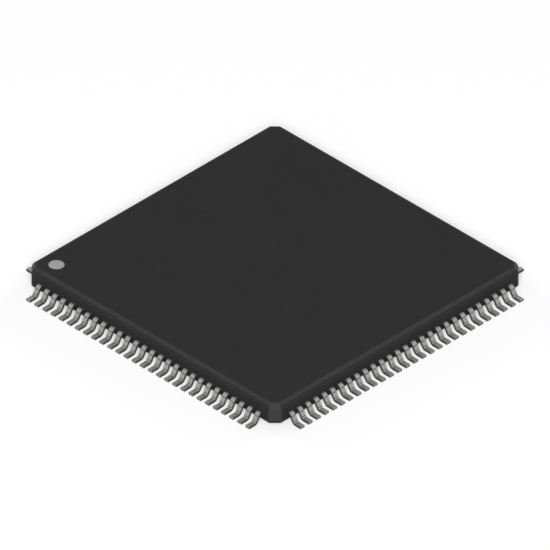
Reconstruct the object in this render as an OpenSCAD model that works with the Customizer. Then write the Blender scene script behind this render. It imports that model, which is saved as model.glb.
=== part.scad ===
// Microcontroller in a low-profile quad flat package. A moulded epoxy body carries gull-wing
// leads on its four sides, and holds the lead frame's paddle, the silicon die and the bond wires.
// Millimetres, +Z up. The origin is the centre of the package on the plane that the feet of the
// leads stand on. Lead 1 is next to the dot at the -X, +Y corner, and the leads are counted
// counter-clockwise seen from above: west, south, east, north.

/* [Body] */
// Width of the square body across its upright walls
body_w = 20; // [19.6:0.1:26]
// Thickness of the moulded body
body_h = 1.4; // [1.3:0.05:1.8]
// Gap between the seating plane and the underside of the body
standoff = 0.1; // [0.05:0.01:0.2]
// Leg of the chamfer on each upright corner
corner_cut = 0.5; // [0.35:0.05:0.8]
// Radius between a corner chamfer and the walls beside it
corner_r = 0.25; // [0.1:0.05:0.4]
// Radius of the lower edge
lower_edge_r = 0.28; // [0.1:0.02:0.36]
// Radius of the upper edge
upper_edge_r = 0.29; // [0.1:0.01:0.36]
// Height of the sloped band under the upper edge
slope_h = 0.22; // [0.1:0.02:0.3]
// Lean of that band from the vertical, in degrees
slope_angle = 23; // [5:1:25]

/* [Lead 1 dot] */
// Diameter of the dot
dot_d = 1; // [0.6:0.1:1.6]
// Distance from the dot's centre to the two walls of its corner
dot_inset = 1.25; // [1.2:0.05:2]
// Depth of the moulded dimple that the dot fills in part
dimple_depth = 0.05; // [0.03:0.01:0.1]
// Thickness of the ink on the dimple's floor
ink_t = 0.02; // [0.01:0.005:0.03]

/* [Ejector marks] */
// Diameter of the round marks that the ejector pins leave in the underside
ejector_d = 1.6; // [1:0.1:2.4]
// Depth of those marks
ejector_depth = 0.03; // [0.02:0.01:0.05]
// Distance from a mark's centre to the two walls of its corner
ejector_inset = 3.2; // [2:0.1:5]

/* [Leads] */
// Number of leads on each side
leads_per_side = 28; // [8:1:28]
// Distance between the centres of two leads
lead_pitch = 0.65; // [0.5:0.01:0.66]
// Width of a lead
lead_w = 0.32; // [0.2:0.01:0.4]
// Thickness of the lead frame's sheet
lead_t = 0.16; // [0.1:0.01:0.2]
// Reach of a lead from the wall to its toe
lead_reach = 1; // [0.8:0.05:1.6]
// Height of a lead's upper face over the underside of the body, where it leaves the wall
lead_level = 0.595; // [0.55:0.005:0.75]
// Straight length between the wall and the first bend
shoulder_l = 0.01; // [0:0.01:0.2]
// Angle of the two bends, in degrees
bend_angle = 60; // [45:1:85]
// Inside radius of the bend at the shoulder
shoulder_r = 0.14; // [0.08:0.01:0.24]
// Inside radius of the bend at the foot
foot_r = 0.1; // [0.06:0.01:0.2]

/* [Lead frame inside] */
// Straight length of a lead behind the wall
root_l = 0.4; // [0.2:0.05:0.6]
// Straight length of a lead's inner tip
tip_l = 0.5; // [0.35:0.05:0.8]
// Width of a lead's inner tip
tip_w = 0.14; // [0.08:0.01:0.18]
// Gap between the paddle and the inner tips, in plan
tip_gap = 0.8; // [0.5:0.05:1.2]
// Room left between the last tip of a row and the corner of the ring of tips
tip_corner_gap = 0.75; // [0.5:0.05:1]
// Border of the paddle around the die
paddle_border = 0.7; // [0.3:0.05:1]
// Drop of the paddle below the leads
paddle_drop = 0.2; // [0.1:0.01:0.26]
// Width of the tie bars that held the paddle by its corners
tie_w = 0.3; // [0.2:0.02:0.4]
// Length in plan of the slanted part of a tie bar
tie_slant_l = 0.4; // [0.3:0.05:0.6]
// Epoxy between the cut end of a tie bar and the corner chamfer
tie_cover = 0.15; // [0.1:0.05:0.4]

/* [Die and wires] */
// Width of the square silicon die
die_w = 5.6; // [3:0.1:8]
// Thickness of the die
die_t = 0.3; // [0.15:0.01:0.36]
// Thickness of the adhesive under the die
attach_t = 0.02; // [0.01:0.005:0.04]
// Distance from the row of bond pads to the edge of the die
pad_inset = 0.1; // [0.06:0.01:0.2]
// Room left between the last pad of a row and the corner of the die
pad_corner_gap = 0.28; // [0.15:0.01:0.5]
// Thickness of a bond wire
wire_t = 0.03; // [0.02:0.005:0.05]
// Diameter of the ball that bonds a wire to its pad
ball_d = 0.08; // [0.06:0.01:0.1]
// Height of that ball
ball_h = 0.03; // [0.02:0.005:0.05]
// Rise of a wire's loop over the die
loop_h = 0.2; // [0.12:0.01:0.3]
// Level run of a wire from its pad to the start of its descent
loop_run = 0.5; // [0.2:0.05:0.8]
// Length of a wire's flat stitch on the lead
stitch_l = 0.08; // [0.05:0.01:0.12]
// Distance from the end of the stitch to the end of the lead's tip
stitch_inset = 0.2; // [0.15:0.01:0.3]

/* [Hidden] */
$fn = 64;

// Turn of each side about the package's axis, from the east side
EAST = 0;
NORTH = 90;
WEST = 180;
SOUTH = 270;

epoxy_grey = [0.19, 0.19, 0.19];
tin_grey = [0.66, 0.66, 0.66];
dot_grey = [0.65, 0.65, 0.65];
copper = [0.72, 0.45, 0.29];
adhesive_grey = [0.55, 0.55, 0.57];
silicon_grey = [0.36, 0.37, 0.42];
gold = [0.83, 0.67, 0.25];

// A cutter runs this far past the face that it opens
past = 0.3;

// Body, from the walls inwards
wall = body_w / 2;
corner_wall = (2 * wall - corner_cut) / sqrt(2);
body_top = standoff + body_h;
upper_edge_z = body_top - upper_edge_r;
slope_top = upper_edge_z + upper_edge_r * sin(slope_angle);
slope_in = slope_h * tan(slope_angle);
corner_tangent = corner_r * tan(22.5);
dot_place = wall - dot_inset;
ejector_place = wall - ejector_inset;

// Leads: the foot stands on the seating plane, and the riser takes up the height left by the bends
lead_top = standoff + lead_level;
lead_bottom = lead_top - lead_t;
bend_start = wall + shoulder_l;
bend_radii = shoulder_r + foot_r + lead_t;
riser_l = (lead_bottom - bend_radii * (1 - cos(bend_angle))) / sin(bend_angle);
foot_start = shoulder_l + bend_radii * sin(bend_angle) + riser_l * cos(bend_angle);
foot_l = lead_reach - foot_start;

// Paddle, die and wires
paddle_w = die_w + 2 * paddle_border;
paddle_bottom = lead_bottom - paddle_drop;
paddle_top = paddle_bottom + lead_t;
die_bottom = paddle_top + attach_t;
die_top = die_bottom + die_t;
tip_end = paddle_w / 2 + tip_gap;
tip_pitch = 2 * (tip_end - tip_corner_gap) / leads_per_side;
pad_row = die_w / 2 - pad_inset;
pad_pitch = 2 * (die_w / 2 - pad_corner_gap) / leads_per_side;
stitch_row = tip_end + stitch_inset;

// Place of number i in a row of leads_per_side at the given pitch, about the middle of its side
function row_place(i, pitch) = (i - (leads_per_side - 1) / 2) * pitch;

// A point turned about the origin
function turned(p, a) = [p.x * cos(a) - p.y * sin(a), p.x * sin(a) + p.y * cos(a)];

// Section of the body between two opposite walls, with rounded lower and upper edges
module wall_section(half) {
    lower_x = half - lower_edge_r;
    upper_x = half - slope_in - upper_edge_r * cos(slope_angle);
    right = [[lower_x, standoff], [half, standoff + lower_edge_r], [half, slope_top - slope_h],
             [half - slope_in, slope_top], [upper_x, body_top]];
    left = [for (i = [len(right) - 1 : -1 : 0]) [-right[i].x, right[i].y]];
    polygon(concat(right, left));
    for (side = [-1, 1]) {
        translate([side * lower_x, standoff + lower_edge_r]) circle(lower_edge_r);
        translate([side * upper_x, upper_edge_z]) circle(upper_edge_r);
    }
}

// Outline of the body in plan: a square with chamfered corners, rounded into the walls
module plan_outline() {
    cut_end = wall - corner_cut;
    slant = corner_tangent * sqrt(0.5);
    corner = [[wall, cut_end - corner_tangent], [wall - slant, cut_end + slant],
              [cut_end + slant, wall - slant], [cut_end - corner_tangent, wall]];
    polygon([for (turn = [0 : 90 : 270]) for (p = corner) turned(p, turn)]);
    for (turn = [0 : 90 : 270]) rotate(turn) {
        translate([wall - corner_r, cut_end - corner_tangent]) circle(corner_r);
        translate([cut_end - corner_tangent, wall - corner_r]) circle(corner_r);
    }
}

// The wall section drawn out across the body, turned about its axis
module section_across(turn, half) {
    rotate([0, 0, turn]) rotate([90, 0, 0])
        linear_extrude(2 * (corner_wall + past), center = true) wall_section(half);
}

// The body's outer form: the plan outline trimmed by the wall section in its four directions
module body_form() {
    intersection() {
        linear_extrude(body_top + past) plan_outline();
        section_across(0, wall);
        section_across(90, wall);
        section_across(45, corner_wall);
        section_across(135, corner_wall);
    }
}

// Flat part of lead i: the root behind the wall, the fan and the tip. It ends at reach outside.
module lead_finger(i, reach) {
    outer = row_place(i, lead_pitch);
    inner = row_place(i, tip_pitch);
    root_end = wall - root_l;
    tip_start = tip_end + tip_l;
    translate([0, 0, lead_bottom]) linear_extrude(lead_t)
        polygon([[reach, outer - lead_w / 2], [reach, outer + lead_w / 2],
                 [root_end, outer + lead_w / 2], [tip_start, inner + tip_w / 2],
                 [tip_end, inner + tip_w / 2], [tip_end, inner - tip_w / 2],
                 [tip_start, inner - tip_w / 2], [root_end, outer - lead_w / 2]]);
}

// A bend of the lead's strip about the Z axis, starting on +X
module strip_bend(radius) {
    rotate_extrude(angle = bend_angle) translate([radius, -lead_w / 2]) square([lead_t, lead_w]);
}

// A straight length of the strip along +Y, from where a bend of that radius ends
module strip_run(radius, length) {
    translate([radius, 0, -lead_w / 2]) cube([lead_t, length, lead_w]);
}

// Part of a lead outside the body, each length starting where the last one ends: the bend at the
// shoulder, the riser, the bend back at the foot and the foot
module gull_wing() {
    translate([bend_start, 0, lead_bottom - shoulder_r]) rotate([0, -90, -90]) {
        strip_bend(shoulder_r);
        rotate([0, 0, bend_angle]) {
            strip_run(shoulder_r, riser_l);
            translate([bend_radii, riser_l, 0]) mirror([1, 0, 0]) {
                strip_bend(foot_r);
                rotate([0, 0, bend_angle]) strip_run(foot_r, foot_l);
            }
        }
    }
}

// One side's leads, drawn for the east side
module lead_row() {
    for (i = [0 : leads_per_side - 1]) {
        lead_finger(i, bend_start);
        translate([0, row_place(i, lead_pitch), 0]) gull_wing();
    }
}

// Bond wire i: up from the ball on its pad, level, down to the lead's tip and flat along it
module bond_wire(i) {
    pad = [pad_row, row_place(i, pad_pitch)];
    stitch = [stitch_row, row_place(i, tip_pitch)];
    run = norm(stitch - pad);
    loop_top = die_top + loop_h;
    translate([pad.x, pad.y, die_top]) cylinder(h = ball_h, d = ball_d);
    translate([pad.x, pad.y, 0]) rotate([0, 0, atan2(stitch.y - pad.y, stitch.x - pad.x)])
        rotate([90, 0, 0]) linear_extrude(wire_t, center = true)
            polygon([[-wire_t / 2, die_top], [-wire_t / 2, loop_top], [loop_run, loop_top],
                     [run - stitch_l, lead_top + wire_t], [run, lead_top + wire_t], [run, lead_top],
                     [run - stitch_l, lead_top], [loop_run, loop_top - wire_t],
                     [wire_t / 2, loop_top - wire_t], [wire_t / 2, die_top]]);
}

// One side's bond wires, drawn for the east side
module wire_row() {
    for (i = [0 : leads_per_side - 1]) bond_wire(i);
}

// One tie bar along +X: level on the paddle's corner, slanted up to the leads, level to its end
module tie_bar() {
    start = paddle_w / 2;
    slant_start = paddle_w / sqrt(2);
    slant_end = slant_start + tie_slant_l;
    end = corner_wall - tie_cover;
    rotate([90, 0, 0]) linear_extrude(tie_w, center = true)
        polygon([[start, paddle_bottom], [slant_start, paddle_bottom], [slant_end, lead_bottom],
                 [end, lead_bottom], [end, lead_top], [slant_end, lead_top],
                 [slant_start, paddle_top], [start, paddle_top]]);
}

// A square plate about the package's axis
module square_plate(width, bottom, thickness) {
    translate([-width / 2, -width / 2, bottom]) cube([width, width, thickness]);
}

// Everything that the epoxy flowed around, with the leads' flat parts run out through the walls
module insert() {
    for (turn = [EAST, NORTH, WEST, SOUTH]) rotate([0, 0, turn]) {
        for (i = [0 : leads_per_side - 1]) lead_finger(i, wall + past);
        wire_row();
    }
    die_paddle();
    die_attach();
    silicon_die();
}

module mold_body() {
    color(epoxy_grey) difference() {
        body_form();
        insert();
        translate([-dot_place, dot_place, body_top - dimple_depth])
            cylinder(h = dimple_depth + past, d = dot_d);
        for (turn = [0 : 90 : 270]) rotate([0, 0, turn])
            translate([ejector_place, ejector_place, standoff - past])
                cylinder(h = past + ejector_depth, d = ejector_d);
    }
}

module lead_1_dot() {
    color(dot_grey) translate([-dot_place, dot_place, body_top - dimple_depth])
        cylinder(h = ink_t, d = dot_d);
}

module leads_west() {
    color(tin_grey) rotate([0, 0, WEST]) lead_row();
}

module leads_south() {
    color(tin_grey) rotate([0, 0, SOUTH]) lead_row();
}

module leads_east() {
    color(tin_grey) rotate([0, 0, EAST]) lead_row();
}

module leads_north() {
    color(tin_grey) rotate([0, 0, NORTH]) lead_row();
}

module die_paddle() {
    color(copper) {
        square_plate(paddle_w, paddle_bottom, lead_t);
        for (turn = [45 : 90 : 315]) rotate([0, 0, turn]) tie_bar();
    }
}

module die_attach() {
    color(adhesive_grey) square_plate(die_w, paddle_top, attach_t);
}

module silicon_die() {
    color(silicon_grey) square_plate(die_w, die_bottom, die_t);
}

module wires_west() {
    color(gold) rotate([0, 0, WEST]) wire_row();
}

module wires_south() {
    color(gold) rotate([0, 0, SOUTH]) wire_row();
}

module wires_east() {
    color(gold) rotate([0, 0, EAST]) wire_row();
}

module wires_north() {
    color(gold) rotate([0, 0, NORTH]) wire_row();
}

mold_body();
lead_1_dot();
leads_west();
leads_south();
leads_east();
leads_north();
die_paddle();
die_attach();
silicon_die();
wires_west();
wires_south();
wires_east();
wires_north();
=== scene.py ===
import math
import bmesh
import bpy
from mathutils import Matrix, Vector


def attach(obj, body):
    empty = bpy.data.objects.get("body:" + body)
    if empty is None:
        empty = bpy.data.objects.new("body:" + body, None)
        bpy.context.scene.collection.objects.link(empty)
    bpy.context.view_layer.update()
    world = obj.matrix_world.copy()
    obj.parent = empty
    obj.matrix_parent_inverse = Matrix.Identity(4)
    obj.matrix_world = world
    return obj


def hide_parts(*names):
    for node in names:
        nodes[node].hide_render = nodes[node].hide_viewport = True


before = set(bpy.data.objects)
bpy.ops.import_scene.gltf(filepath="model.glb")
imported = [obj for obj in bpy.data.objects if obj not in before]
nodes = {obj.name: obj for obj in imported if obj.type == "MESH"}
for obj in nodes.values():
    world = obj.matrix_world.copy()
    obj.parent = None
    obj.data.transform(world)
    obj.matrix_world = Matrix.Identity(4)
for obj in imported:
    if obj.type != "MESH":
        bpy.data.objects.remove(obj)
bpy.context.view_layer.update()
mm = 0.001
print("frame loaded with", len(nodes), "nodes")


class Wire:
    # a node's output: arithmetic on it adds Math nodes
    def __init__(self, tree, out=None):
        self.tree = tree
        self.out = out

    def node(self, kind, settings, sockets, take=0):
        made = self.tree.nodes.new(kind)
        for name, value in settings.items():
            if name == "stops":
                fillRamp(made.color_ramp, value)
            else:
                setattr(made, name, value)
        for name, value in sockets.items():
            if isinstance(value, Wire):
                self.tree.links.new(value.out, made.inputs[name])
            else:
                made.inputs[name].default_value = value
        return Wire(self.tree, made.outputs[take] if made.outputs else None)

    def maths(self, operation, first, second):
        return self.node("ShaderNodeMath", {"operation": operation}, {0: first, 1: second})

    def larger(self, other):
        return self.maths("MAXIMUM", self, other)

    def __abs__(self):
        return self.maths("ABSOLUTE", self, 0.0)

    def __add__(self, other):
        return self.maths("ADD", self, other)

    def __radd__(self, other):
        return self.maths("ADD", other, self)

    def __sub__(self, other):
        return self.maths("SUBTRACT", self, other)

    def __rsub__(self, other):
        return self.maths("SUBTRACT", other, self)

    def __mul__(self, other):
        return self.maths("MULTIPLY", self, other)

    def __rmul__(self, other):
        return self.maths("MULTIPLY", other, self)


def fillRamp(ramp, stops):
    while len(ramp.elements) < len(stops):
        ramp.elements.new(1.0)
    for element, (place, colour) in zip(ramp.elements, stops):
        element.position = place
        element.color = colour


def grey(value):
    return (value, value, value, 1.0)


def shade(colour, factor):
    return (colour[0] * factor, colour[1] * factor, colour[2] * factor, 1.0)


def newMaterial(name):
    made = bpy.data.materials.new(name)
    made.use_nodes = True
    made.node_tree.nodes.clear()
    return made, Wire(made.node_tree)


def objectPlace(tree):
    return tree.node("ShaderNodeTexCoord", {}, {}, take="Object")


def surfaceNormal(tree):
    return tree.node("ShaderNodeNewGeometry", {}, {}, take="Normal")


def axisOf(tree, vector, axis):
    return tree.node("ShaderNodeSeparateXYZ", {}, {"Vector": vector}, take=axis)


def vectorMaths(tree, operation, first, second, take=0):
    return tree.node("ShaderNodeVectorMath", {"operation": operation}, {0: first, 1: second}, take)


def stretch(tree, vector, factors):
    return vectorMaths(tree, "MULTIPLY", vector, factors)


def along(tree, vector, direction):
    return vectorMaths(tree, "DOT_PRODUCT", vector, direction, "Value")


def noise(tree, place, size, detail=3.0):
    return tree.node("ShaderNodeTexNoise", {}, {"Vector": place, "Scale": 1 / size, "Detail": detail})


# distance from the middle of the nearest cell, in cells
def cellDistance(tree, place, size):
    return tree.node("ShaderNodeTexVoronoi", {}, {"Vector": place, "Scale": 1 / size})


# 0 up to the first limit, 1 from the second on
def fade(tree, value, limits):
    stops = [(limits[0], grey(0.0)), (limits[1], grey(1.0))]
    return tree.node("ShaderNodeValToRGB", {"stops": stops}, {"Fac": value})


# 1 where a value is at a level, fading to 0 on both sides
def thinLine(tree, value, level, width):
    away = (value - level) * (1 / width)
    return 1 - fade(tree, away * away, (0.1, 1.0))


def mixColour(tree, factor, first, second):
    return tree.node("ShaderNodeMix", {"data_type": "RGBA"}, {0: factor, 6: first, 7: second}, take=2)


# a tone that is darker and paler by a share of itself
def varied(tree, factor, tone, spread):
    return mixColour(tree, factor, shade(tone, 1 - spread), shade(tone, 1 + spread))


def bump(tree, height, depth, strength):
    return tree.node("ShaderNodeBump", {}, {"Height": height, "Distance": depth, "Strength": strength})


def closeMaterial(tree, sockets):
    shader = tree.node("ShaderNodeBsdfPrincipled", {}, sockets)
    tree.node("ShaderNodeOutputMaterial", {}, {"Surface": shader})


def dress(piece, material):
    piece.data.materials.clear()
    piece.data.materials.append(material)


# a point around the object by its compass angle and height angle
def around(azimuth, elevation, distance):
    a = math.radians(azimuth)
    e = math.radians(elevation)
    return distance * Vector((math.sin(a) * math.cos(e), -math.cos(a) * math.cos(e), math.sin(e)))


# camera
cameraView = {
    "azimuth": -45.0,
    "elevation": 35.264,               # true isometric
    "distance": 80 * mm,
    "frameWidth": 31.142 * mm,         # what the square picture spans
    "lookAt": Vector((0, 0, 0.748 * mm)),
    "nearest": 1 * mm,
    "farthest": 5000 * mm,
}


def makeCamera(view):
    back = around(view["azimuth"], view["elevation"], view["distance"])
    bpy.ops.object.camera_add(location=view["lookAt"] + back)
    camera = bpy.context.object
    camera.name = "camera"
    camera.rotation_euler = (-back).to_track_quat("-Z", "Y").to_euler()
    camera.data.type = "ORTHO"
    camera.data.ortho_scale = view["frameWidth"]
    camera.data.clip_start = view["nearest"]
    camera.data.clip_end = view["farthest"]
    bpy.context.scene.camera = camera


bpy.ops.object.select_all(action="DESELECT")
makeCamera(cameraView)
print("camera set")


# edit mode helpers
joinWithin = 0.001 * mm                # corners nearer than this are one


def selectFaces(wanted):
    mesh = bmesh.from_edit_mesh(bpy.context.object.data)
    bpy.ops.mesh.select_all(action="DESELECT")
    bpy.ops.mesh.select_mode(type="FACE")
    for face in mesh.faces:
        face.select_set(wanted(face))
    bmesh.update_edit_mesh(bpy.context.object.data)


def selectVerts(wanted):
    mesh = bmesh.from_edit_mesh(bpy.context.object.data)
    bpy.ops.mesh.select_all(action="DESELECT")
    bpy.ops.mesh.select_mode(type="VERT")
    for vert in mesh.verts:
        vert.select_set(wanted(vert))
    mesh.select_flush(True)
    bmesh.update_edit_mesh(bpy.context.object.data)


def extrude(x, y, z):
    bpy.ops.mesh.extrude_region_move(TRANSFORM_OT_translate={"value": (x, y, z)})


def applyModifier(piece, kind, settings):
    added = piece.modifiers.new(kind.lower(), kind)
    for name, value in settings.items():
        setattr(added, name, value)
    bpy.ops.object.modifier_apply(modifier=added.name)


def finishMesh(piece, smoothAngle):
    bpy.ops.object.mode_set(mode="EDIT")
    bpy.ops.mesh.select_all(action="SELECT")
    bpy.ops.mesh.remove_doubles(threshold=joinWithin)
    bpy.ops.mesh.normals_make_consistent(inside=False)
    bpy.ops.object.mode_set(mode="OBJECT")
    bpy.ops.object.shade_smooth_by_angle(angle=math.radians(smoothAngle))
    applyModifier(piece, "WEIGHTED_NORMAL", {"keep_sharp": True})


# leads: the rounded section is drawn once at the east wall and swept out
lead = {
    "wall": 10 * mm,
    "top": 0.695 * mm,
    "width": 0.32 * mm,
    "thickness": 0.16 * mm,
    "rolledEdge": 0.02 * mm,           # the punch rounds the upper edges
    "shoulder": 0.01 * mm,
    "shoulderRadius": 0.14 * mm,       # inside radii of the bends
    "footRadius": 0.1 * mm,
    "bend": math.radians(60),
    "bendSteps": 4,
    "reach": 11 * mm,
    "toeEdge": 0.008 * mm,             # broken edge around the toe
    "count": 28,
    "pitch": 0.65 * mm,
    "root": 0.4 * mm,                  # inside the epoxy: straight root, fan, tip
    "tipStart": 4.8 * mm,
    "tipEnd": 4.3 * mm,
    "tipPitch": 0.25357 * mm,
    "tipWidth": 0.14 * mm,
    "smoothAngle": 35,
}


def drawSection(shape, place):
    middle = shape["top"] - shape["thickness"] / 2
    bpy.ops.object.select_all(action="DESELECT")
    bpy.ops.mesh.primitive_plane_add(size=1, location=(shape["wall"], place, middle),
                                     rotation=(0, math.pi / 2, 0))
    piece = bpy.context.object
    piece.scale = (shape["thickness"], shape["width"], 1)
    bpy.ops.object.transform_apply(location=True, rotation=True, scale=True)
    bpy.ops.object.mode_set(mode="EDIT")
    selectVerts(lambda v: v.co.z > middle)
    bpy.ops.mesh.bevel(offset=shape["rolledEdge"], segments=1, affect="VERTICES")
    bpy.ops.object.mode_set(mode="OBJECT")
    return piece


def turn(angle, steps, x, z):
    bpy.ops.mesh.spin(steps=steps, angle=angle, center=(x, 0, z), axis=(0, 1, 0))


# shoulder, bend down, riser, bend back, foot, and the foot narrowed at its toe
def sweepOutwards(shape, place):
    thick, bend, steps = shape["thickness"], shape["bend"], shape["bendSteps"]
    bothBends = shape["shoulderRadius"] + shape["footRadius"] + thick
    riser = (shape["top"] - thick - (1 - math.cos(bend)) * bothBends) / math.sin(bend)
    bpy.ops.mesh.select_all(action="SELECT")
    extrude(shape["shoulder"], 0, 0)
    x = shape["wall"] + shape["shoulder"]
    turn(-bend, steps, x, shape["top"] - thick - shape["shoulderRadius"])
    extrude(riser * math.cos(bend), 0, -riser * math.sin(bend))
    x += bothBends * math.sin(bend) + riser * math.cos(bend)
    turn(bend, steps, x, thick + shape["footRadius"])
    extrude(shape["reach"] - shape["toeEdge"] - x, 0, 0)
    extrude(shape["toeEdge"], 0, 0)
    narrow = 1 - 2 * shape["toeEdge"] / shape["width"]
    low = 1 - 2 * shape["toeEdge"] / thick
    toe = (shape["reach"], place, thick / 2)
    bpy.ops.transform.resize(value=(1, narrow, low), center_override=toe)


# a strip's inner end at this distance from the middle, at one place along the row or at any
def facesInward(face, x, place=None):
    centre = face.calc_center_median()
    near = place is None or abs(centre.y - place) < 0.05 * mm
    return near and abs(centre.x - x) < joinWithin and abs(face.normal.x) > 0.99


# straight roots, then the row drawn together into a fan, then narrower tips
def addFingers(shape, firstPlace):
    wall, tipStart = shape["wall"], shape["tipStart"]
    selectFaces(lambda f: facesInward(f, wall))
    extrude(-shape["root"], 0, 0)
    extrude(tipStart - wall + shape["root"], 0, 0)
    closer = shape["tipPitch"] / shape["pitch"]
    bpy.ops.transform.resize(value=(1, closer, 1), center_override=(0, 0, 0))
    wider = shape["tipWidth"] / (shape["width"] * closer)
    for number in range(shape["count"]):
        place = firstPlace * closer + number * shape["tipPitch"]
        selectFaces(lambda f: facesInward(f, tipStart, place))
        bpy.ops.transform.resize(value=(1, wider, 1), center_override=(0, place, 0))
    selectFaces(lambda f: facesInward(f, tipStart))
    extrude(shape["tipEnd"] - tipStart, 0, 0)


def modelLeads(shape):
    firstPlace = -shape["pitch"] * (shape["count"] - 1) / 2
    piece = drawSection(shape, firstPlace)
    bpy.ops.object.mode_set(mode="EDIT")
    sweepOutwards(shape, firstPlace)
    bpy.ops.object.mode_set(mode="OBJECT")
    applyModifier(piece, "ARRAY", {"count": shape["count"], "use_relative_offset": False,
                                   "use_constant_offset": True,
                                   "constant_offset_displace": (0, shape["pitch"], 0)})
    bpy.ops.object.mode_set(mode="EDIT")
    addFingers(shape, firstPlace)
    bpy.ops.object.mode_set(mode="OBJECT")
    finishMesh(piece, shape["smoothAngle"])
    return piece


def copyRow(piece, degrees):
    bpy.ops.object.select_all(action="DESELECT")
    piece.select_set(True)
    bpy.context.view_layer.objects.active = piece
    bpy.ops.object.duplicate(linked=False)
    made = bpy.context.object
    made.rotation_euler = (0, 0, math.radians(degrees))
    bpy.ops.object.transform_apply(rotation=True)
    return made


leadRows = {"east": modelLeads(lead)}
for side, degrees in (("north", 90), ("west", 180), ("south", 270)):
    leadRows[side] = copyRow(leadRows["east"], degrees)
for side, row in leadRows.items():
    row.name = "tinned_leads_" + side
    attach(row, "root")
    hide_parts("leads_" + side)
print("leads modelled:", len(leadRows["east"].data.polygons), "faces a side")


# dot: a flat drop of ink, thin at its rim
dot = {
    "centre": Vector((-8.75 * mm, 8.75 * mm, 0)),
    "floor": 1.45 * mm,
    "radius": 0.5 * mm,
    "corners": 64,
    "rim": 0.006 * mm,                 # thickness at the rim
    "steps": (                         # inwards from the rim, and up
        (0.02 * mm, 0.006 * mm),
        (0.03 * mm, 0.005 * mm),
        (0.1 * mm, 0.003 * mm),
    ),
    "smoothAngle": 40,
}


def modelDot(shape):
    bpy.ops.object.select_all(action="DESELECT")
    middle = shape["centre"] + Vector((0, 0, shape["floor"] + shape["rim"] / 2))
    bpy.ops.mesh.primitive_cylinder_add(vertices=shape["corners"], radius=shape["radius"],
                                        depth=shape["rim"], location=middle)
    piece = bpy.context.object
    bpy.ops.object.transform_apply(location=True)
    bpy.ops.object.mode_set(mode="EDIT")
    selectFaces(lambda f: f.normal.z > 0.9)
    for inwards, up in shape["steps"]:
        bpy.ops.mesh.inset(thickness=inwards, depth=up)
    bpy.ops.object.mode_set(mode="OBJECT")
    finishMesh(piece, shape["smoothAngle"])
    return piece


inkDot = modelDot(dot)
inkDot.name = "ink_dot"
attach(inkDot, "root")
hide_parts("lead_1_dot")
print("dot modelled")


# body: the solid's own form, its loose facets joined into one closed skin
def joinFacets(node):
    bpy.ops.object.select_all(action="DESELECT")
    piece = bpy.data.objects.new(node.name, node.data.copy())
    bpy.context.collection.objects.link(piece)
    bpy.context.view_layer.objects.active = piece
    piece.select_set(True)
    bpy.ops.object.mode_set(mode="EDIT")
    bpy.ops.mesh.select_all(action="SELECT")
    bpy.ops.mesh.remove_doubles(threshold=joinWithin, use_sharp_edge_from_normals=True)
    bpy.ops.object.mode_set(mode="OBJECT")
    return piece


mouldedBody = joinFacets(nodes["mold_body"])
mouldedBody.name = "moulded_body"
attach(mouldedBody, "root")
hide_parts("mold_body")
print("body joined:", len(mouldedBody.data.polygons), "faces")


# moulded epoxy: matte, with spark-eroded grain, filler grains, and a painted highlight on round edges
# and chamfers
epoxy = {
    "tone": 0.016,
    "toneSpread": 0.18,
    "fillerTone": 0.0384,
    "fillerShare": 0.3,
    # painted highlight: the paler tone painted on the round edges and chamfers
    "edgeLightTone": 0.0305,
    "roughness": 0.65,
    "roughSpread": 0.25,
    "edgePolish": 0.08,
    "specular": 0.08,
    "grainSize": 0.07 * mm,
    "grainDepth": 0.016 * mm,
    "fillerRelief": 0.4,               # share of the grain's depth
    "cloudSize": 2.5 * mm,
    "fillerSize": 0.09 * mm,
    "fillerReach": (0.08, 0.3),
    "edgeLow": (0.36, 0.55),           # how far up the round edge under the top faces
    "edgeHigh": (0.95, 0.99),
    "chamferTurn": (0.1, 0.3),         # how far a corner's chamfer faces both walls' ways
    "edgeLightLeast": 0.8,                   # painted highlight, uneven: from this share up, by the clouds
    "edgeLightMore": 0.4,
}


def epoxyMaterial(look):
    made, tree = newMaterial("matte_epoxy")
    place = objectPlace(tree)
    grain = noise(tree, place, look["grainSize"])
    clouds = noise(tree, place, look["cloudSize"], 5.0)
    filler = 1 - fade(tree, cellDistance(tree, place, look["fillerSize"]), look["fillerReach"])

    # painted highlight: the round edge and the chamfers are painted paler by how they face, but not
    # the underside
    normal = surfaceNormal(tree)
    up = axisOf(tree, normal, "Z")
    roundEdge = fade(tree, up, look["edgeLow"]) * (1 - fade(tree, up, look["edgeHigh"]))
    sideways = abs(axisOf(tree, normal, "X") * axisOf(tree, normal, "Y"))
    notBelow = fade(tree, up + 0.1, (0.0, 0.1))
    chamfer = fade(tree, sideways, look["chamferTurn"]) * notBelow
    paintedEdgeLight = roundEdge.larger(chamfer) * (look["edgeLightLeast"] + look["edgeLightMore"] * clouds)

    tone = varied(tree, grain * 0.6 + clouds * 0.4, grey(look["tone"]), look["toneSpread"])
    tone = mixColour(tree, filler * look["fillerShare"], tone, grey(look["fillerTone"]))
    roughness = look["roughness"] + (grain - 0.5) * look["roughSpread"]
    # Base Color carries the painted edge highlight
    closeMaterial(tree, {
        "Base Color": mixColour(tree, paintedEdgeLight, tone, grey(look["edgeLightTone"])),
        "Roughness": roughness - paintedEdgeLight * look["edgePolish"],
        "Specular IOR Level": look["specular"],
        "Normal": bump(tree, grain + filler * look["fillerRelief"], look["grainDepth"], 1.0),
    })
    return made
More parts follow.
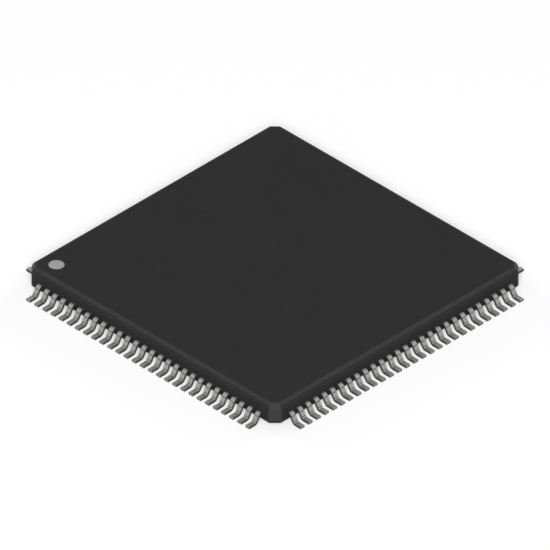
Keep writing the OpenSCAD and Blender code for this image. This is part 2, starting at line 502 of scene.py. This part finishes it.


# matte tin: fine crystals, lines along the strip, darker where the bending tool pressed; cut sides and
# toe darker, partly their own cut finish and partly painted shade
tin = {
    "tone": (0.3, 0.3, 0.295),
    "toneSpread": 0.2,
    # cut sides and toe: partly their own duller cut finish, partly painted shade
    "shearedAndShadeTone": 0.17,               # shares of the tone
    "toeAndShadeTone": 0.53,
    "markTone": 0.42,
    "cutSpread": 0.5,
    "shearedTurn": (0.2, 0.6),         # how far a cut face is turned its way
    "toeTurn": (0.9, 0.98),
    "metallic": 0.9,
    "dullMetallic": 0.3,               # what the dull clouds take off it
    "roughness": 0.4,
    "crystalRoughness": 0.2,           # how much it varies, and what cutting adds
    "dullRoughness": 0.15,
    "shearedRoughness": 0.12,
    "crystalSize": 0.02 * mm,
    "lineSize": 0.25 * mm,
    "finer": 14,                       # how much finer the lines are across the strip
    "dullSize": 0.35 * mm,
    "depth": 0.0015 * mm,
    "relief": 0.5,
    "riserMarks": (0.525 * mm, 0.235 * mm),  # heights where the bending tool pressed
    "heelMark": 10.545 * mm,           # and how far out it pressed the heel
    "markWidth": 0.04 * mm,
    "markLeast": 0.7,                  # pressed unevenly: from this share up, by the dull clouds
    "markMore": 0.6,
}


def tinMaterial(name, look, across, outwards):
    made, tree = newMaterial(name)
    place = objectPlace(tree)
    crystals = noise(tree, place, look["crystalSize"])
    dull = noise(tree, place, look["dullSize"], 4.0)
    finer = tuple(look["finer"] if a else 1 for a in across)
    lines = noise(tree, stretch(tree, place, finer), look["lineSize"])

    normal = surfaceNormal(tree)
    facing = along(tree, normal, across)
    ahead = along(tree, normal, outwards)
    shearedAndShaded = fade(tree, facing * facing, look["shearedTurn"])
    toe = fade(tree, ahead * ahead, look["toeTurn"])

    # dull lines across the strip where the bending tool pressed it
    height = axisOf(tree, place, "Z")
    distance = abs(along(tree, place, outwards))
    marks = thinLine(tree, distance, look["heelMark"], look["markWidth"])
    for level in look["riserMarks"]:
        marks = marks + thinLine(tree, height, level, look["markWidth"])

    spread = crystals * 0.4 + lines * 0.3 + dull * 0.3
    tone = varied(tree, spread, look["tone"], look["toneSpread"])
    pressed = shade(look["tone"], look["markTone"])
    tone = mixColour(tree, marks * (look["markLeast"] + look["markMore"] * dull), tone, pressed)
    # painted shade, partly: cut sides and toe take a darker tone by how they face
    for mask, share in ((shearedAndShaded, look["shearedAndShadeTone"]), (toe, look["toeAndShadeTone"])):
        shadedCutTone = varied(tree, spread, shade(look["tone"], share), look["cutSpread"])
        tone = mixColour(tree, mask, tone, shadedCutTone)
    roughness = look["roughness"] + (crystals - 0.5) * look["crystalRoughness"]
    roughness = roughness + (dull - 0.5) * look["dullRoughness"]
    closeMaterial(tree, {
        "Base Color": tone,
        "Metallic": look["metallic"] - dull * look["dullMetallic"],
        "Roughness": roughness + shearedAndShaded * look["shearedRoughness"],
        "Normal": bump(tree, crystals * 0.6 + lines, look["depth"], look["relief"]),
    })
    return made


# dot ink: pale grey, with the epoxy showing through where it thins out
ink = {
    "tone": 0.3,
    "toneSpread": 0.15,
    "thinTone": 0.03,
    "thinReach": (0.86, 0.95),         # shares of the radius
    "thinWander": 0.06,
    "roughness": 0.5,
    "roughSpread": 0.2,
    "specular": 0.3,
    "mottleSize": 0.12 * mm,
    "grainSize": 0.03 * mm,
    "depth": 0.003 * mm,
    "relief": 0.5,
}


def inkMaterial(look, shape):
    made, tree = newMaterial("dot_ink")
    place = objectPlace(tree)
    grain = noise(tree, place, look["grainSize"])
    mottle = noise(tree, place, look["mottleSize"], 4.0)
    middle = shape["centre"] + Vector((0, 0, shape["floor"]))
    fromMiddle = vectorMaths(tree, "DISTANCE", place, middle, "Value")
    share = fromMiddle * (1 / shape["radius"]) + (mottle - 0.5) * look["thinWander"]
    thin = fade(tree, share, look["thinReach"])
    tone = varied(tree, grain * 0.4 + mottle * 0.6, grey(look["tone"]), look["toneSpread"])
    closeMaterial(tree, {
        "Base Color": mixColour(tree, thin, tone, grey(look["thinTone"])),
        "Roughness": look["roughness"] + (mottle - 0.5) * look["roughSpread"],
        "Specular IOR Level": look["specular"],
        "Normal": bump(tree, grain + mottle, look["depth"], look["relief"]),
    })
    return made


# rolled and drawn metal inside: lines along one axis, with a mottled tint
copper = {
    "tone": (0.6, 0.3, 0.18),
    "darkest": 0.75,                   # shares of the tone
    "palest": 1.2,
    "roughness": 0.35,
    "roughSpread": 0.3,
    "lineSize": 0.3 * mm,
    "finer": (1, 12, 1),               # how much finer the lines are along each axis
    "depth": 0.002 * mm,
    "relief": 0.4,
}
gold = {
    "tone": (0.75, 0.55, 0.18),
    "darkest": 0.75,
    "palest": 1.2,
    "roughness": 0.2,
    "roughSpread": 0.3,
    "lineSize": 0.1 * mm,
    "finer": (1, 1, 4),
    "depth": 0.002 * mm,
    "relief": 0.4,
}


def rolledMetal(name, look):
    made, tree = newMaterial(name)
    place = objectPlace(tree)
    lines = noise(tree, stretch(tree, place, look["finer"]), look["lineSize"])
    tint = noise(tree, place, look["lineSize"] * 4, 4.0)
    dark = shade(look["tone"], look["darkest"])
    pale = shade(look["tone"], look["palest"])
    closeMaterial(tree, {
        "Base Color": mixColour(tree, lines * 0.5 + tint * 0.5, dark, pale),
        "Metallic": 1.0,
        "Roughness": look["roughness"] + (lines - 0.5) * look["roughSpread"],
        "Normal": bump(tree, lines, look["depth"], look["relief"]),
    })
    return made


# silver-filled adhesive: bright flakes in a grey paste
adhesive = {
    "darkTone": 0.3,
    "paleTone": 0.45,
    "flakeTone": 0.7,
    "flakeMetallic": 0.8,
    "pasteSize": 0.3 * mm,
    "flakeSize": 0.04 * mm,
    "flakeReach": (0.15, 0.45),
    "roughness": 0.6,
    "flakePolish": 0.25,
    "depth": 0.005 * mm,
    "flakeRelief": 0.3,
    "relief": 0.5,
}


def adhesiveMaterial(look):
    made, tree = newMaterial("silver_adhesive")
    place = objectPlace(tree)
    paste = noise(tree, place, look["pasteSize"])
    flakes = 1 - fade(tree, cellDistance(tree, place, look["flakeSize"]), look["flakeReach"])
    tone = mixColour(tree, paste, grey(look["darkTone"]), grey(look["paleTone"]))
    closeMaterial(tree, {
        "Base Color": mixColour(tree, flakes, tone, grey(look["flakeTone"])),
        "Metallic": flakes * look["flakeMetallic"],
        "Roughness": look["roughness"] - flakes * look["flakePolish"],
        "Normal": bump(tree, paste + flakes * look["flakeRelief"], look["depth"], look["relief"]),
    })
    return made


# silicon: blocks of circuits in several tints, each filled with rows of cells
silicon = {
    "darkTone": (0.03, 0.04, 0.08, 1.0),
    "paleTone": (0.14, 0.11, 0.2, 1.0),
    "cellTone": (0.32, 0.3, 0.22, 1.0),
    "cellShare": 0.6,
    "blockSize": 1.5 * mm,
    "blockGap": 0.02,                  # shares of the size
    "cellSize": 0.09 * mm,
    "cellGap": 0.06,
    "metallic": 0.3,
    "cellMetallic": 0.4,               # what the cells add
    "roughness": 0.16,
    "cellRoughness": 0.12,
    "coat": 0.2,
}


def circuitGrid(tree, place, size, gap):
    rows = {"offset": 0.0, "squash": 1.6, "squash_frequency": 2}  # every second row has longer blocks
    return tree.node("ShaderNodeTexBrick", rows, {
        "Vector": place, "Scale": 1 / size, "Mortar Size": gap, "Brick Width": 1.0, "Row Height": 0.7,
        "Color1": grey(0.2), "Color2": grey(1.0), "Mortar": grey(0.1),
    })


def siliconMaterial(look):
    made, tree = newMaterial("patterned_silicon")
    place = objectPlace(tree)
    blocks = circuitGrid(tree, place, look["blockSize"], look["blockGap"])
    cells = circuitGrid(tree, place, look["cellSize"], look["cellGap"])
    tone = mixColour(tree, blocks, look["darkTone"], look["paleTone"])
    closeMaterial(tree, {
        "Base Color": mixColour(tree, cells * blocks * look["cellShare"], tone, look["cellTone"]),
        "Metallic": look["metallic"] + cells * look["cellMetallic"],
        "Roughness": look["roughness"] + cells * look["cellRoughness"],
        "Coat Weight": look["coat"],
    })
    return made


dress(mouldedBody, epoxyMaterial(epoxy))
tinWestEast = tinMaterial("tin_west_east", tin, (0, 1, 0), (1, 0, 0))
tinNorthSouth = tinMaterial("tin_north_south", tin, (1, 0, 0), (0, 1, 0))
for side, row in leadRows.items():
    dress(row, tinWestEast if side in ("west", "east") else tinNorthSouth)
dress(inkDot, inkMaterial(ink, dot))
dress(nodes["die_paddle"], rolledMetal("rolled_copper", copper))
dress(nodes["die_attach"], adhesiveMaterial(adhesive))
dress(nodes["silicon_die"], siliconMaterial(silicon))
wireGold = rolledMetal("drawn_gold", gold)
for side in leadRows:
    dress(nodes["wires_" + side], wireGold)
print("materials set")


# studio: white floor, a soft lamp over the camera, weak ones behind, a room white to look at but dim
studio = {
    "floorSize": 2.0,
    "floorTone": 1.0,
    "floorGlow": 0.25,                 # share of the floor's white that needs no lamp
    "ambient": 0.25,
    "lamps": {
        "softbox": {"place": around(-45, 37, 1.2), "size": 0.5, "power": 16.5},
        "northFill": {"place": around(180, 12, 1.2), "size": 0.5, "power": 3.4},
        "eastFill": {"place": around(90, 12, 1.2), "size": 0.5, "power": 3.4},
    },
}


# 1 for what the camera, mirrors and clear things see, 0 for light on matt surfaces
def seenDirectly(tree):
    camera = tree.node("ShaderNodeLightPath", {}, {}, take="Is Camera Ray")
    glossy = tree.node("ShaderNodeLightPath", {}, {}, take="Is Glossy Ray")
    through = tree.node("ShaderNodeLightPath", {}, {}, take="Is Transmission Ray")
    return camera + glossy + through


def makeFloor(look):
    bpy.ops.object.select_all(action="DESELECT")
    bpy.ops.mesh.primitive_plane_add(size=look["floorSize"], location=(0, 0, 0))
    floor = bpy.context.object
    floor.name = "floor"
    made, tree = newMaterial("white_floor")
    matt = tree.node("ShaderNodeBsdfDiffuse", {}, {"Color": grey(look["floorTone"])})
    glow = tree.node("ShaderNodeEmission", {}, {"Color": grey(1.0), "Strength": 1.0})
    share = seenDirectly(tree) * look["floorGlow"]
    surface = tree.node("ShaderNodeMixShader", {}, {0: share, 1: matt, 2: glow})
    tree.node("ShaderNodeOutputMaterial", {}, {"Surface": surface})
    dress(floor, made)


def makeRoom(look):
    room = bpy.data.worlds.new("room")
    bpy.context.scene.world = room
    room.use_nodes = True
    room.node_tree.nodes.clear()
    tree = Wire(room.node_tree)
    strength = look["ambient"] + (1 - look["ambient"]) * seenDirectly(tree)
    background = tree.node("ShaderNodeBackground", {}, {"Color": grey(1.0), "Strength": strength})
    tree.node("ShaderNodeOutputWorld", {}, {"Surface": background})


def makeLamp(name, look):
    bpy.ops.object.light_add(type="AREA", location=look["place"])
    lamp = bpy.context.object
    lamp.name = name
    lamp.rotation_euler = (-look["place"]).to_track_quat("-Z", "Y").to_euler()
    lamp.data.shape = "DISK"
    lamp.data.size = look["size"]
    lamp.data.energy = look["power"]
    lamp.visible_camera = False


makeFloor(studio)
makeRoom(studio)
for name, look in studio["lamps"].items():
    makeLamp(name, look)
bpy.context.scene.view_settings.view_transform = "Standard"
print("studio set")
